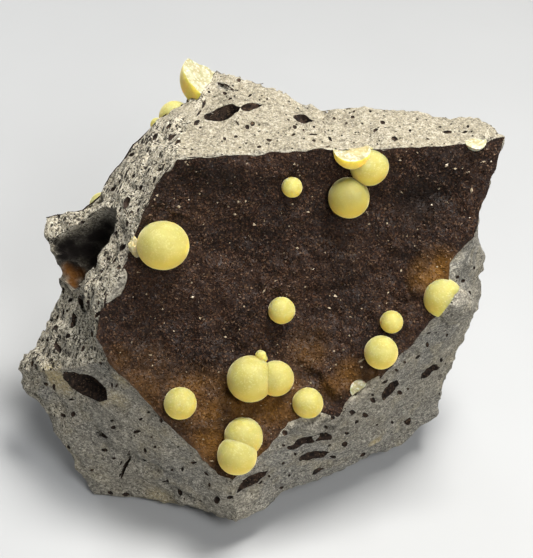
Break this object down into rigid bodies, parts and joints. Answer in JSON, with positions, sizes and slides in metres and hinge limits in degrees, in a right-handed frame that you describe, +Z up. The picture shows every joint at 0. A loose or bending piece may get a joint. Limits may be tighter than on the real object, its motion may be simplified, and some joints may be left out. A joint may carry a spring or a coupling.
{
  "type": "calcite and basalt mineral specimen",
  "caption": "Broken block of vesicular basalt with an open, druse-lined vug that carries pale yellow calcite balls; rests on a flat underside.",
  "frame": {"origin": "middle of the bounding box in plan, at the ground", "axes": "+Z up, the open vug looks toward -Y, the pointed right tip is toward +X"},
  "size_m": [0.1208, 0.0798, 0.1001],
  "materials": {
    "basalt": "rough, vesicular stone",
    "druse": "granular, finely sparkling crystal crust",
    "calcite": "frosted, slightly translucent"
  },
  "bodies": {
    "root": {"basalt_matrix": "basalt", "druse_front_vug": "druse", "druse_back_vug": "druse", "calcite_ball_top_pair": "calcite", "calcite_ball_under_top_pair": "calcite", "calcite_ball_small_upper": "calcite", "calcite_ball_left_rim": "calcite", "calcite_ball_lower_left": "calcite", "calcite_ball_centre_pair": "calcite", "calcite_ball_lip": "calcite", "calcite_ball_right": "calcite", "calcite_ball_right_small": "calcite", "calcite_ball_shoulder": "calcite", "calcite_ball_middle": "calcite", "calcite_ball_notch_pair": "calcite", "calcite_flake_lip": "calcite", "calcite_flake_right_tip": "calcite", "calcite_ball_back_corner": "calcite", "calcite_ball_back_ridge": "calcite", "calcite_ball_back_spike": "calcite"}
  },
  "joints": []
}
